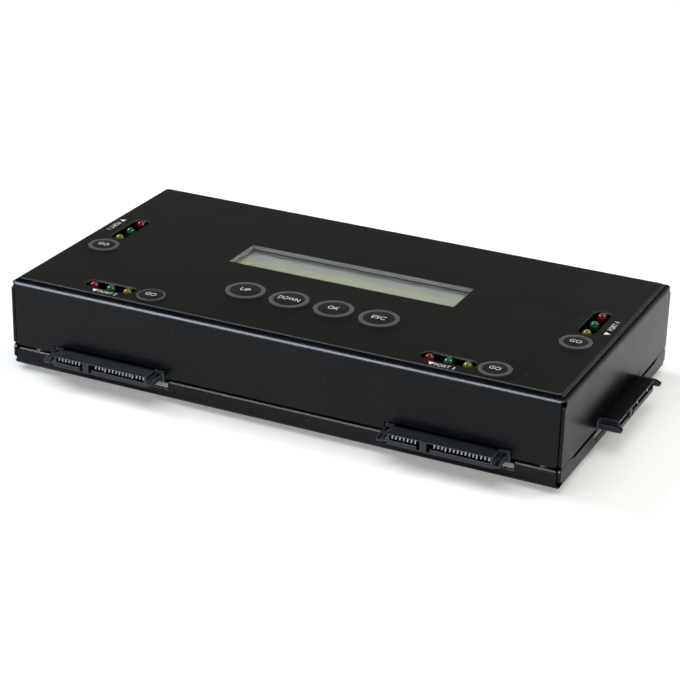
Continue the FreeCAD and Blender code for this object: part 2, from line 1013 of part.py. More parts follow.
keep(
    "board_screws",
    group(
        "board_screw_group",
        [
            screw(
                "board_screw",
                x,
                y,
                board_top,
                False,
                s.small_screw_radius,
                s.board + s.board_lift * 0.8,
                s.small_head_radius,
                s.small_head_height,
            )
            for x, y in lift_points
        ],
    ),
)
keep(
    "controller_chip",
    centred_box(
        "controller_chip",
        0,
        front + s.chip_y,
        s.chip_size,
        s.chip_size,
        board_top,
        board_top + s.chip_height,
    ),
)

# Flat cable between the two boards, straight from header to header.
header_y = front + s.header_y
lower_header = board_top + s.header_height
upper_header = panel_low - s.header_height
keep(
    "cable_headers",
    group(
        "header_group",
        [
            centred_box(
                "header", 0, header_y, s.header_width, s.header_depth, low, high
            )
            for low, high in ((board_top, lower_header), (upper_header, panel_low))
        ],
    ),
)
keep(
    "flat_cable",
    centred_box(
        "flat_cable",
        0,
        header_y,
        s.ribbon_width,
        s.ribbon_thickness,
        lower_header,
        upper_header,
    ),
)

# Pillars hang from the cover; a screw comes up into each through the tray.
keep(
    "cover_pillars",
    group(
        "pillar_group",
        [
            sleeve(
                "pillar",
                x,
                y,
                floor_top,
                cover_under,
                s.pillar_radius,
                s.screw_radius + s.screw_fit,
            )
            for x, y in pillar_points
        ],
    ),
)
cover_screws = []
for x, y in pillar_points:
    head_low = floor_low - s.screw_head_height
    blank = screw(
        "cover_screw_blank",
        x,
        y,
        floor_low,
        True,
        s.screw_radius,
        s.screw_length,
        s.screw_head_radius,
        s.screw_head_height,
    )
    slots = [
        centred_box(
            "screw_recess",
            x,
            y,
            width,
            depth,
            head_low - s.recess_depth,
            head_low + s.recess_depth,
        )
        for width, depth in (
            (s.recess_length, s.recess_width),
            (s.recess_width, s.recess_length),
        )
    ]
    cover_screws.append(cut("cover_screw", blank, slots))
keep("cover_screws", group("cover_screw_group", cover_screws))
feet = []
for x, y in corners(s.foot_inset_x, s.foot_inset_y):
    disc = rod("foot_disc", x, y, 0, floor_low, s.foot_radius)
    feet.append(fillet("foot", disc, s.foot_edge, lambda e: all_at(e, 2, 0)))
keep("feet", group("foot_group", feet))

# One drive socket about its own place on the wall: outward is -Y, x along the wall.
mouth_x = s.mouth_width / 2
slot_high = socket_top - s.slot_roof
slot_floor = slot_high - s.slot_opening
outer_end = mouth_x - s.slot_wall
first_pin = s.pin_pitch * -12.5
signal_pins = [first_pin + s.pin_pitch * i for i in range(7)]
power_pins = [first_pin + s.pin_pitch * (i + 11) for i in range(15)]
divider_middle = (signal_pins[-1] + power_pins[0]) / 2 - s.pin_pitch / 4
divider_left = divider_middle - s.divider / 2
divider_right = divider_middle + s.divider / 2
mouth = box("mouth_block", (-mouth_x, -s.mouth_reach, socket_low), (mouth_x, 0, socket_top))
mouth = fillet("mouth", mouth, s.mouth_edge, lambda e: all_at(e, 1, -s.mouth_reach))
housing = [
    mouth,
    box("body_block", (-ear_x, 0, board_top), (ear_x, s.body_depth, socket_top)),
]
ear_high = socket_top - s.ear_drop
ear_low = ear_high - s.ear_height
ear_side = doc.addObject("Sketcher::SketchObject", "ear_side")
ear_side.Placement = FreeCAD.Placement(
    FreeCAD.Vector(), FreeCAD.Rotation(FreeCAD.Vector(1, 1, 1), 120)
)
outline(
    ear_side,
    [
        (s.sheet, ear_low),
        (s.sheet, ear_high),
        (s.ear_point_run - s.ear_reach, ear_high),
        (-s.ear_reach, ear_high - s.ear_point_drop),
        (-s.ear_reach, ear_low + s.ear_point_lift),
        (s.ear_point_lift - s.ear_reach, ear_low),
    ],
)
for x0 in (ear_x - s.ear_inset - s.ear_width, s.ear_inset - ear_x):
    ear = doc.addObject("Part::Extrusion", "ear_block")
    ear.Base = ear_side
    ear.DirMode = "Custom"
    ear.Dir = FreeCAD.Vector(1, 0, 0)
    ear.Solid = True
    bind(ear, "LengthFwd", s.ear_width)
    place(ear, x0)
    housing.append(fillet("ear", ear, s.ear_tip, lambda e: all_at(e, 1, -s.ear_reach)))
slot_back = s.slot_depth - s.mouth_reach
mouth_front = -s.mouth_reach - s.mouth_edge
slots = [
    box("signal_slot", (-outer_end, mouth_front, slot_floor), (divider_left, slot_back, slot_high)),
    box("power_slot", (divider_right, mouth_front, slot_floor), (outer_end, slot_back, slot_high)),
    box(
        "signal_key",
        (divider_left - s.key_notch_width, mouth_front, slot_floor - s.key_notch_depth),
        (divider_left, slot_back, slot_high),
    ),
    box(
        "power_key",
        (divider_right, mouth_front, slot_floor - s.key_notch_depth),
        (divider_right + s.key_notch_width, slot_back, slot_high),
    ),
    box(
        "pin_tunnel",
        (-outer_end, slot_back - s.pin_sheet, slot_floor),
        (outer_end, s.body_depth + s.pin_sheet, slot_floor + s.pin_sheet + s.pin_tunnel_room),
    ),
]
socket = cut("socket", fuse("socket_solid", housing), slots)


def pin_profile(name, gain):
    """A spring contact from the side: tip, bump, strip on the slot's floor, tail and foot."""
    sketch = doc.addObject("Sketcher::SketchObject", name)
    sketch.Placement = FreeCAD.Placement(
        FreeCAD.Vector(), FreeCAD.Rotation(FreeCAD.Vector(1, 1, 1), 120)
    )
    bump = s.pin_bump_depth - s.mouth_reach - gain
    crest = slot_floor + s.pin_bump_height
    tip = bump - s.pin_sheet / 2 - s.pin_tip_run
    rise = bump + s.pin_bump_run
    bend = s.body_depth + s.pin_tail
    foot = bend + s.pin_foot
    strip = slot_floor + s.pin_sheet
    half = s.pin_sheet / 2
    outline(
        sketch,
        [
            (tip + s.pin_sheet, crest - s.pin_tip_drop),
            (bump, crest - s.pin_sheet),
            (bump + half, crest - s.pin_sheet),
            (rise - half, slot_floor),
            (bend - s.pin_sheet, slot_floor),
            (bend - s.pin_sheet, board_top),
            (foot, board_top),
            (foot, board_top + s.pin_sheet),
            (bend, board_top + s.pin_sheet),
            (bend, strip),
            (rise, strip),
            (bump + half, crest),
            (bump - half, crest),
            (tip, crest - s.pin_tip_drop),
        ],
    )
    return sketch


short_pin = pin_profile("short_pin", 0)
long_pin = pin_profile("long_pin", s.long_pin_gain)
pins = []
for number, x in enumerate(signal_pins + power_pins):
    pin = doc.addObject("Part::Extrusion", "pin")
    pin.Base = long_pin if number in (10, 18) else short_pin
    pin.DirMode = "Custom"
    pin.Dir = FreeCAD.Vector(1, 0, 0)
    pin.Solid = True
    bind(pin, "LengthFwd", s.pin_width)
    pins.append(place(pin, x - s.pin_width / 2))
contacts = group("contact_row", pins)
for port, (x, y, side) in PORTS.items():
    turn = side_turn(side)
    keep(port + "_socket", place(group(port + "_socket_place", [socket]), x, y, 0, turn))
    keep(port + "_contacts", place(group(port + "_contact_place", [contacts]), x, y, 0, turn))

# Power inlet on the rear wall: moulded body with a round nose, and its centre pin.
jack_front = back - s.sheet - s.jack_room
jack_block = box(
    "jack_block",
    (jack_x - s.jack_width / 2, jack_front - s.jack_depth, board_top),
    (jack_x + s.jack_width / 2, jack_front, board_top + s.jack_height),
)


def rear_rod(name, y_inner, y_outer, radius):
    """A cylinder about the inlet's axis."""
    obj = doc.addObject("Part::Cylinder", name)
    place(obj, jack_x, y_outer, jack_z, 90, FreeCAD.Vector(1, 0, 0))
    bind(obj, "Radius", radius)
    bind(obj, "Height", as_size(y_outer) - y_inner)
    return obj


nose_end = back + s.jack_reach
bore_end = nose_end - s.jack_bore_depth
nose = rear_rod("jack_nose", jack_front - s.sheet, nose_end, s.jack_nose_radius)
bore = rear_rod("jack_bore", bore_end, nose_end + s.sheet, s.jack_bore_radius)
keep("power_jack", cut("jack", fuse("jack_solid", [jack_block, nose]), [bore]))
keep(
    "power_jack_pin",
    rear_rod("jack_pin", bore_end, nose_end - s.jack_pin_sink, s.jack_pin_radius),
)

doc.recompute()
for obj in doc.Objects:
    if "Invalid" in obj.State or "Error" in obj.State:
        raise RuntimeError("failed: %s %s" % (obj.Label, obj.State))
for label, obj in parts.items():
    if obj.Shape.isNull() or not obj.Shape.isValid():
        raise RuntimeError("bad shape: " + label)

os.makedirs("parts", exist_ok=True)
for label, obj in parts.items():
    obj.Shape.exportStep("parts/%s.step" % label)
    print(label, len(obj.Shape.Solids), round(obj.Shape.Volume, 2))
print("pieces:", len(parts))
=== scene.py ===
# %% [markdown]
# # A four-port drive eraser
# The eraser is a flat steel box for a workbench: a folded cover on a low tray, a printed
# film with eight keys, twelve lamps and a display on top, and four drive sockets in three
# of its walls. Its solids are already modelled to size, one piece per part, and they are
# loaded here as they are. This lesson gives every piece a finish, adds the fine things
# that a solid model leaves out, and sets up a small studio. All lengths are in metres.

# %% Load the solids
import json
import math

import bmesh
import bpy
from mathutils import Matrix, Vector


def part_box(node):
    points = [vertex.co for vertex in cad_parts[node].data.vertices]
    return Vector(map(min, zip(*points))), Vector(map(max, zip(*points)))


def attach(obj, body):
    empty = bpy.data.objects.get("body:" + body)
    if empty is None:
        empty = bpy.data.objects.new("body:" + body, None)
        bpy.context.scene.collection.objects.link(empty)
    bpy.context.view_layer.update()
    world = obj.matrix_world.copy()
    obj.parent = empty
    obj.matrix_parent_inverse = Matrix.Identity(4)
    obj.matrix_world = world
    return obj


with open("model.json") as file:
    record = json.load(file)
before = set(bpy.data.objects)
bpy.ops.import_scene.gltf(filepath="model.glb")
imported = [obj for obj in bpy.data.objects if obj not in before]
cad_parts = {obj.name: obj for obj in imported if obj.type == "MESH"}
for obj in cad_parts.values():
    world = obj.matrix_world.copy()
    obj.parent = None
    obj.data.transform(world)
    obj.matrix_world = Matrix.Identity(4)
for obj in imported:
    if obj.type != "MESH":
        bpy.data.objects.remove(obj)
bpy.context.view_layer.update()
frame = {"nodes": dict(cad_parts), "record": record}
scene = bpy.context.scene
MM = 0.001

# %% [markdown]
# ## The camera
# The view was found from the regular spacing of the socket contacts and the corners of
# the casing: a long lens, standing to the right of the front and 24 degrees above the
# table. A camera can be aimed with a constraint, but plain numbers keep the small tilt
# that the view has.

# %% Place the camera
lens = bpy.data.cameras.new("long_lens")
lens.lens = 111.865
lens.sensor_width = 36.0
camera = bpy.data.objects.new("camera", lens)
camera.location = (0.27440, -0.58074, 0.29823)
camera.rotation_euler = [math.radians(angle) for angle in (65.9968, -1.2237, 25.7540)]
scene.collection.objects.link(camera)
scene.camera = camera
scene.view_settings.view_transform = "Standard"
print("camera distance in mm:", round(camera.location.length / MM))

# %% [markdown]
# ## Node helpers
# Finishes are small graphs of shader nodes. Adding a node by hand takes four lines, so
# one helper adds it and fills its sockets: a number is set on the socket, and an output
# is linked to it. The other helpers name the few kinds of node that come up again and
# again, so that a finish reads as a recipe.

# %% Nodes and numbers
def put(tree, kind, *values, sockets=None, **settings):
    """Adds a node. Values fill its inputs in order, sockets by name."""
    node = tree.nodes.new("ShaderNode" + kind)
    for name, value in settings.items():
        setattr(node, name, value)
    pairs = list(zip(node.inputs, values))
    pairs += [(node.inputs[name], value) for name, value in (sockets or {}).items()]
    for socket, value in pairs:
        if isinstance(value, bpy.types.NodeSocket):
            tree.links.new(value, socket)
        elif value is not None:
            socket.default_value = value
    return node


def math_of(tree, operation, *values):
    """The result of a sum, a product or a comparison."""
    return put(tree, "Math", *values, operation=operation).outputs[0]


def remap(tree, value, low, high, to_low, to_high, curve="LINEAR"):
    """Brings one range of numbers to another, and stops at its ends."""
    ends = (low, high, to_low, to_high)
    return put(tree, "MapRange", value, *ends, interpolation_type=curve).outputs[0]


def blend(tree, share, first, second):
    """Mixes two colours, each a colour or a link. The node's sockets for other kinds stay empty."""
    other_kinds = [None] * 5
    return put(tree, "Mix", share, *other_kinds, first, second, data_type="RGBA").outputs[2]


def toned(colour, factor=1.0):
    """A colour made darker or lighter, with the fourth number that a socket wants."""
    return (*(factor * part for part in colour), 1.0)


print("node helpers ready")

# %% [markdown]
# ## Patterns
# No real surface is even, and noise breaks it up. The patterns are read from Object
# coordinates, which are metres on this object. So a grain can be given by its real pitch,
# it runs on round a corner, and nothing has to be unwrapped. Masks of edges and of upright
# faces come from the surface normal.

# %% Patterns
BEVEL_SAMPLES = 6


def place_of(tree):
    """The Object coordinates of the point that is shaded."""
    found = tree.nodes.get("place") or put(tree, "TexCoord", name="place")
    return found.outputs["Object"]


def grain(tree, pitch, detail=2.0, stretch=(1, 1, 1)):
    """Soft random grain with one lump about every pitch."""
    where = put(tree, "Mapping", place_of(tree), sockets={"Scale": stretch}).outputs[0]
    return put(tree, "TexNoise", where, sockets={"Scale": 1 / pitch, "Detail": detail}).outputs[0]


def spread(tree, noise, to_low, to_high):
    """Brings a grain, most of which lies between 0.3 and 0.7, to another range."""
    return remap(tree, noise, 0.3, 0.7, to_low, to_high)


def specks(tree, spacing, radius, share):
    """A mask of small round dust specks: cells of that spacing, of which a share holds one."""
    cells = put(tree, "TexVoronoi", place_of(tree), sockets={"Scale": 1 / spacing})
    chance = put(tree, "SeparateColor", cells.outputs["Color"])
    largest = radius / spacing
    size = remap(tree, chance.outputs[1], 0.0, 1.0, 0.3 * largest, largest)
    inside = math_of(tree, "LESS_THAN", cells.outputs["Distance"], size)
    held = math_of(tree, "LESS_THAN", chance.outputs[0], share)
    return math_of(tree, "MULTIPLY", inside, held)


def outer_edge(tree, reach):
    """A mask of the edges, about that wide, from how far a bevel turns the surface."""
    turned = put(tree, "Bevel", reach, samples=BEVEL_SAMPLES).outputs[0]
    flat = put(tree, "NewGeometry").outputs["True Normal"]
    agree = put(tree, "VectorMath", turned, flat, operation="DOT_PRODUCT").outputs["Value"]
    return remap(tree, agree, 0.97, 0.80, 0.0, 1.0)


def side_faces(tree):
    """A mask of the upright faces, such as the cut edge of a sheet."""
    normal = put(tree, "NewGeometry").outputs["True Normal"]
    upward = put(tree, "SeparateXYZ", normal).outputs["Z"]
    return math_of(tree, "LESS_THAN", math_of(tree, "ABSOLUTE", upward), 0.5)


print("patterns ready")

# %% [markdown]
# ## Shaders
# Every finish is one Principled shader. Its plain values are set first, then patterns are
# linked over some of them. Relief that is finer than the model is done with bump, and the
# bevel node softens edges that are sharp in the solids and never are in the real thing.

# %% Shaders
finishes = {}


def new_finish(name, colour, roughness, **sockets):
    """A Principled finish with its plain values set, and its tree and shader to add to."""
    finish = bpy.data.materials.new(name)
    finish.use_nodes = True
    finish.diffuse_color = toned(colour)
    shader = finish.node_tree.nodes["Principled BSDF"]
    shader.inputs["Base Color"].default_value = toned(colour)
    shader.inputs["Roughness"].default_value = roughness
    for socket, value in sockets.items():
        shader.inputs[socket.replace("_", " ")].default_value = value
    finishes[name] = finish
    return finish.node_tree, shader


def feed(tree, shader, **links):
    """Links outputs to sockets of the shader. An underscore stands for a space."""
    for socket, output in links.items():
        tree.links.new(output, shader.inputs[socket.replace("_", " ")])


def raise_grain(tree, shader, height, depth, edge=None, into="Normal"):
    """Lets a height pattern of that depth tilt the surface, and rounds sharp edges a little."""
    bump = put(tree, "Bump", sockets={"Height": height, "Distance": depth})
    if edge:
        rounded = put(tree, "Bevel", edge, samples=BEVEL_SAMPLES)
        tree.links.new(rounded.outputs[0], bump.inputs["Normal"])
    tree.links.new(bump.outputs[0], shader.inputs[into])


print("shader helpers ready")

# %% [markdown]
# ## The lamps of the studio
# The photograph has a white ground. Each lamp lens shows a glint from the left and one
# from the right, so a softbox stands on either side. A low strip in front on the left
# draws the bright line along the front bend: it is mirrored, and otherwise lights nothing.
# A faint strip stands behind. A wide soft light overhead fills the rest; it isn't mirrored,
# because the top face has to stay dark.
#
# In a real studio a black card keeps a lamp off part of the object. Light linking does
# that here. The strip in front leaves out what lies on top and the sockets, which would
# mirror it as plain white, and the left softbox leaves out the paint.

# %% Set up the lamps
AIM = Vector((0, 0, 0.02))
WHITE = (1, 1, 1)
COOL = (0.86, 0.93, 1.0)
COOLER = (0.82, 0.92, 1.0)
WARM = (1.0, 0.92, 0.76)


def softbox(name, turn, reach, height, width, tall, watts, colour):
    """A lamp with a flat face, turned to the object. The turn is from straight in front."""
    angle = math.radians(turn)
    place = Vector((reach * math.sin(angle), -reach * math.cos(angle), height))
    lamp = bpy.data.lights.new(name, "AREA")
    lamp.shape = "RECTANGLE"
    lamp.size = width
    lamp.size_y = tall
    lamp.energy = watts
    lamp.color = colour
    stand = bpy.data.objects.new(name, lamp)
    stand.location = place
    stand.rotation_euler = (AIM - place).to_track_quat("-Z", "Y").to_euler()
    scene.collection.objects.link(stand)
    return stand


def keep_off(stand, names):
    """Links the lamp to all pieces but these, which it then neither lights nor is mirrored in."""
    left_out = bpy.data.collections.new(stand.name + "_leaves_out")
    for name in names:
        left_out.objects.link(frame["nodes"][name])
    for row in left_out.collection_objects:
        row.light_linking.link_state = "EXCLUDE"
    stand.light_linking.receiver_collection = left_out


strip = softbox(
    "strip_front", turn=-26, reach=1.05, height=0.36, width=0.80, tall=0.50, watts=48.0, colour=COOL
)
left = softbox(
    "softbox_left", turn=-95, reach=0.92, height=0.92, width=0.40, tall=0.40, watts=6.0, colour=COOLER
)
softbox(
    "softbox_right", turn=111, reach=0.92, height=0.92, width=0.40, tall=0.40, watts=3.4, colour=WARM
)
softbox(
    "strip_back", turn=178, reach=1.0, height=0.68, width=0.15, tall=0.30, watts=0.5, colour=WHITE
)
over = softbox(
    "softbox_over", turn=0, reach=0.25, height=1.25, width=1.2, tall=1.2, watts=10.5, colour=WHITE
)
strip.visible_diffuse = False
over.visible_glossy = False
on_top = [name for name in frame["nodes"] if name.endswith(("_cap", "_ring", "_lamps"))]
on_top += [name for name in frame["nodes"] if name.startswith(("graphic", "display"))]
at_ports = [name for name in frame["nodes"] if name.startswith("port")]
keep_off(strip, on_top + at_ports)
keep_off(left, ["top_cover", "bottom_tray"])

# %% [markdown]
# ## Sky and floor
# The sky of the studio is white at the horizon and dim above, again to keep the top dark.
# The floor is a nearly white sheet that keeps the shadow. It glows a little, and for the
# camera more so far away, so that it goes over into the white horizon.

# %% Sky and floor
WHITE_BELOW, DIM_ABOVE = 0.06, 0.22
DIM_SKY = 0.07
FLOOR_REACH = 6.0
NEAR, FAR = 0.5, 1.8
NEAR_GLOW, FAR_GLOW = 0.14, 0.75
MIRRORED_GLOW = 0.16

sky = bpy.data.worlds.new("studio")
sky.use_nodes = True
scene.world = sky
air = sky.node_tree
height = put(air, "SeparateXYZ", put(air, "TexCoord").outputs["Generated"]).outputs["Z"]
sky_glow = remap(air, height, WHITE_BELOW, DIM_ABOVE, 1.0, DIM_SKY, curve="SMOOTHSTEP")
air.links.new(sky_glow, air.nodes["Background"].inputs["Color"])

ground = bmesh.new()
bmesh.ops.create_grid(ground, x_segments=1, y_segments=1, size=FLOOR_REACH)
sheet = bpy.data.meshes.new("floor")
ground.to_mesh(sheet)
ground.free()
floor = bpy.data.objects.new("floor", sheet)
scene.collection.objects.link(floor)
tree, shader = new_finish("studio_floor", (0.90, 0.90, 0.90), 0.9, Specular_IOR_Level=0.0)
shader.inputs["Emission Color"].default_value = (1, 1, 1, 1)
rays = put(tree, "LightPath").outputs
seen = math_of(tree, "MAXIMUM", rays["Is Camera Ray"], rays["Is Glossy Ray"])
seen = math_of(tree, "MAXIMUM", seen, rays["Is Transmission Ray"])
mirrored = math_of(tree, "MULTIPLY", seen, MIRRORED_GLOW)
away = put(tree, "VectorMath", place_of(tree), operation="LENGTH").outputs["Value"]
white = remap(tree, away, NEAR, FAR, NEAR_GLOW, FAR_GLOW)
floor_glow = math_of(tree, "MULTIPLY_ADD", rays["Is Camera Ray"], white, mirrored)
feed(tree, shader, Emission_Strength=floor_glow)
sheet.materials.append(finishes["studio_floor"])
print("floor reaches in m:", FLOOR_REACH)

# %% [markdown]
# ## Painted steel
# Cover and tray are folded steel with a satin black powder paint. Powder melts into
# a skin with a slight orange-peel, here two grains of about 1 mm and 0.3 mm. Handling
# leaves patches that shine a little differently, and dust settles on it. The rim of the
# tray was cut after painting, so its thin edge is bare. Along the front and back its top
# is painted paler, partly for the bare edge and partly as a painted highlight along it.

# %% Casing paint
PAINT = (0.0016, 0.0034, 0.0062)
PAINT_DEEP = (0.0006, 0.0020, 0.0040, 1)
PAINT_PALE = (0.0038, 0.0062, 0.0092, 1)
PAINT_DUST = (0.24, 0.25, 0.26, 1)
PEEL_COARSE = 1.1 * MM
PEEL_FINE = 0.3 * MM
PEEL_DEPTH = 0.025 * MM


def paint(name):
    """Powder paint with orange-peel, patches and dust. Returns its tree, shader and colour."""
    tree, shader = new_finish(name, PAINT, 0.27, Specular_IOR_Level=0.17)
    fine = math_of(tree, "MULTIPLY", grain(tree, PEEL_FINE), 0.4)
    peel = math_of(tree, "ADD", grain(tree, PEEL_COARSE), fine)
    raise_grain(tree, shader, peel, PEEL_DEPTH, edge=0.6 * MM)
    patches = grain(tree, 18 * MM, detail=4.0)
    mottle = remap(tree, grain(tree, 0.8 * MM, detail=3.0), 0.35, 0.65, 0.0, 1.0)
    tone = blend(tree, mottle, PAINT_DEEP, PAINT_PALE)
    tone = blend(tree, specks(tree, 3 * MM, 0.26 * MM, 0.18), tone, PAINT_DUST)
    feed(tree, shader, Roughness=spread(tree, patches, 0.22, 0.30), Base_Color=tone)
    return tree, shader, tone


paint("casing_paint")
print("casing paint: orange-peel pitch in mm", round(PEEL_COARSE / MM, 2))

# %% Tray paint with a bare rim and a painted highlight
BARE_RIM_AND_PAINTED_HIGHLIGHT = (0.50, 0.51, 0.53, 1)
RIM_BAND = 1.5 * MM

tree, shader, tone = paint("tray_paint")
tray_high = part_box("bottom_tray")[1]
rim_from = tray_high.z - RIM_BAND
spot = put(tree, "SeparateXYZ", place_of(tree)).outputs
high = math_of(tree, "GREATER_THAN", spot["Z"], rim_from)
across = math_of(tree, "ABSOLUTE", spot["X"])
within = math_of(tree, "LESS_THAN", across, tray_high.x - RIM_BAND)
level = math_of(tree, "SUBTRACT", 1.0, side_faces(tree))
# Painted highlight: the top faces of the front and back rim are painted pale, partly for the bare cut
# edge.
bare_and_highlit_rim = math_of(tree, "MULTIPLY", math_of(tree, "MULTIPLY", high, within), level)
feed(tree, shader, Base_Color=blend(tree, bare_and_highlit_rim, tone, BARE_RIM_AND_PAINTED_HIGHLIGHT))
print("tray paint: bare rim above mm", round(rim_from / MM, 2))

# %% [markdown]
# ## Printed film
# The top face carries a polyester film, printed warm black from behind. Its face has
# a fine embossed texture against glare, so it is rougher than the paint, and it lies
# not quite flat. Finger marks change its roughness, not its colour. Its cut edge is paler.

# %% Film
FILM_INK = (0.0075, 0.0070, 0.0050)
FILM_DUST = (0.40, 0.39, 0.36, 1)
FILM_EDGE = (0.20, 0.20, 0.19, 1)
EMBOSS_PITCH = 0.16 * MM
SWELL_PITCH = 22 * MM

tree, shader = new_finish("printed_film", FILM_INK, 0.35, Specular_IOR_Level=0.22)
emboss = math_of(tree, "MULTIPLY", grain(tree, EMBOSS_PITCH, detail=1.0), 0.05)
relief = math_of(tree, "ADD", emboss, grain(tree, SWELL_PITCH, detail=1.0))
raise_grain(tree, shader, relief, 0.1 * MM, edge=0.15 * MM)
marks = remap(tree, grain(tree, 14 * MM, detail=5.0), 0.35, 0.75, 0.31, 0.40)
dusty = blend(tree, specks(tree, 4 * MM, 0.2 * MM, 0.16), toned(FILM_INK), FILM_DUST)
feed(tree, shader, Roughness=marks, Base_Color=blend(tree, side_faces(tree), dusty, FILM_EDGE))
print("printed film: texture pitch in mm", round(EMBOSS_PITCH / MM, 2))

# %% [markdown]
# ## Window
# A clear acrylic pane lies over the display. It is slightly wavy. Solid glass would bend
# the light twice and darken what lies below, but the pane is thin: light is let straight
# through, only a coat on its polished face mirrors, and its sawn edges are frosted.

# %% Window
PANE = (0.97, 0.98, 0.97)
SAWN_EDGE = (0.46, 0.46, 0.48, 1)
POLISHED, FROSTED = 0.05, 0.6
PANE_GLOSS = dict(Transmission_Weight=1.0, IOR=1.0, Coat_Weight=1.0, Coat_Roughness=0.06)

tree, shader = new_finish("window", PANE, POLISHED, **PANE_GLOSS)
waves = grain(tree, 9 * MM, stretch=(0.5, 1, 1))
raise_grain(tree, shader, waves, 0.4 * MM, into="Coat Normal")
clear = math_of(tree, "SUBTRACT", 1.0, side_faces(tree))
feed(tree, shader, Transmission_Weight=clear, Coat_Weight=clear)
feed(tree, shader, Base_Color=blend(tree, clear, SAWN_EDGE, toned(PANE)))
feed(tree, shader, Roughness=remap(tree, clear, 0.0, 1.0, FROSTED, POLISHED))
print("window: frosted edges")

# %% [markdown]
# ## Display
# The character display is grey-green, of two lines, and switched off. Its back part lies
# under the rim, and there its colour is painted grey as painted shade, behind a wavy line;
# its front part keeps the paler colour, as if lit. Its cells are only just there. They
# could be solids, but a pattern is enough for a shade so faint: the remainder of the
# coordinates over their pitch tells cell from gap.

# %% Display glass
GLASS_DEEP = (0.53, 0.56, 0.42, 1)
GLASS_PALE = (0.60, 0.62, 0.48, 1)
GLASS_PAINTED_SHADE = (0.44, 0.45, 0.47, 1)
CELL = (0.20, 0.24, 0.17, 1)
CELL_STRENGTH = 0.07
SWAY = 2.2 * MM

tree, shader = new_finish("display_glass", (0.46, 0.49, 0.40), 0.35)
glass_low, glass_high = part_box("display_glass")
middle = (glass_low + glass_high) / 2
spot = put(tree, "SeparateXYZ", place_of(tree)).outputs
cells = CELL_STRENGTH
for axis, pitch, share, count in ((0, 3.7 * MM, 0.865, 20), (1, 5.95 * MM, 0.933, 2)):
    along = math_of(tree, "SUBTRACT", spot[axis], middle[axis] - pitch * count / 2)
    turns = math_of(tree, "DIVIDE", along, pitch)
    filled = math_of(tree, "LESS_THAN", math_of(tree, "FRACT", turns), share)
    inside = math_of(tree, "COMPARE", turns, count / 2, count / 2)
    cells = math_of(tree, "MULTIPLY", cells, math_of(tree, "MULTIPLY", filled, inside))
sway = spread(tree, grain(tree, 16 * MM), -SWAY, SWAY)
depth = math_of(tree, "ADD", spot["Y"], sway)
# Painted shade: towards the back, under the rim, the display is painted grey.
shade = remap(tree, depth, middle.y + 1.5 * MM, middle.y + 7.0 * MM, 0.0, 1.0, curve="SMOOTHSTEP")
cloud = spread(tree, grain(tree, 30 * MM, detail=3.0), 0.0, 1.0)
base = blend(tree, shade, blend(tree, cloud, GLASS_DEEP, GLASS_PALE), GLASS_PAINTED_SHADE)
feed(tree, shader, Base_Color=blend(tree, cells, base, CELL))
print("display cells: 20 by 2")

# %% [markdown]
# ## Display frame
# The display is held by a pressed frame with a dull, pale plating and fine lines along its
# length. Its colour is painted paler than the plating, as painted light against the shade
# under the cover, and paler still on its upright faces inside the opening. It isn't given a
# metal's mirror, which in there would show only the dark underside of the cover.

# %% Display frame
# Painted light: the frame is painted paler than its plating, and its upright faces paler still, against
# the shade under the cover.
FRAME_DEEP = (0.70, 0.70, 0.72, 1)
FRAME_PALE = (0.78, 0.78, 0.80, 1)
FRAME_SIDES_PAINTED_LIGHT = (0.82, 0.82, 0.84, 1)

tree, shader = new_finish("display_frame", (0.72, 0.72, 0.74), 0.5)
raise_grain(tree, shader, grain(tree, 0.2 * MM, stretch=(0.1, 1, 1)), 0.006 * MM)
base = blend(tree, grain(tree, 4 * MM, detail=3.0), FRAME_DEEP, FRAME_PALE)
feed(tree, shader, Base_Color=blend(tree, side_faces(tree), base, FRAME_SIDES_PAINTED_LIGHT))
print("display frame: dull plating, paler inside the opening")

# %% [markdown]
# ## Keys
# Each key is a black cap inside a grey ring. Both are moulded, with the fine texture that
# a spark-cut mould leaves, and fingers polish them unevenly. The two differ in colour and
# gloss only, so one loop makes both.

# %% Key plastics
SPARK_PITCH = 0.18 * MM
SPARK_DEPTH = 0.006 * MM
KEY_PLASTICS = (
    ("key_black", (0.010, 0.010, 0.011), 0.42),
    ("key_grey", (0.100, 0.098, 0.096), 0.50),
)

for name, colour, rough in KEY_PLASTICS:
    tree, shader = new_finish(name, colour, rough, Specular_IOR_Level=0.35)
    raise_grain(tree, shader, grain(tree, SPARK_PITCH), SPARK_DEPTH, edge=0.12 * MM)
    wear_and_sheen = grain(tree, 4 * MM, detail=3.0)
    base = blend(tree, wear_and_sheen, toned(colour, 0.85), toned(colour, 1.15))
    feed(tree, shader, Roughness=spread(tree, wear_and_sheen, rough - 0.06, rough + 0.06), Base_Color=base)
print("key plastics:", len(KEY_PLASTICS))

# %% [markdown]
# ## Lamp lenses
# The lamps are 3 mm light-emitting diodes, off. Their lenses are clear epoxy with a dye,
# so most of the light goes through and is coloured on the way, and the rest is scattered.
# Deep in the slot little light gets to them, so their colour is painted darker towards the foot, as
# painted shade.

# %% Lens epoxies
LENS_GLOSS = dict(Transmission_Weight=0.65, IOR=1.5, Coat_Weight=1.0, Coat_IOR=1.7, Coat_Roughness=0.02)
LENSES = (
    ("red_lens", (0.50, 0.006, 0.012)),
    ("green_lens", (0.012, 0.36, 0.14)),
    ("yellow_lens", (0.55, 0.52, 0.04)),
)

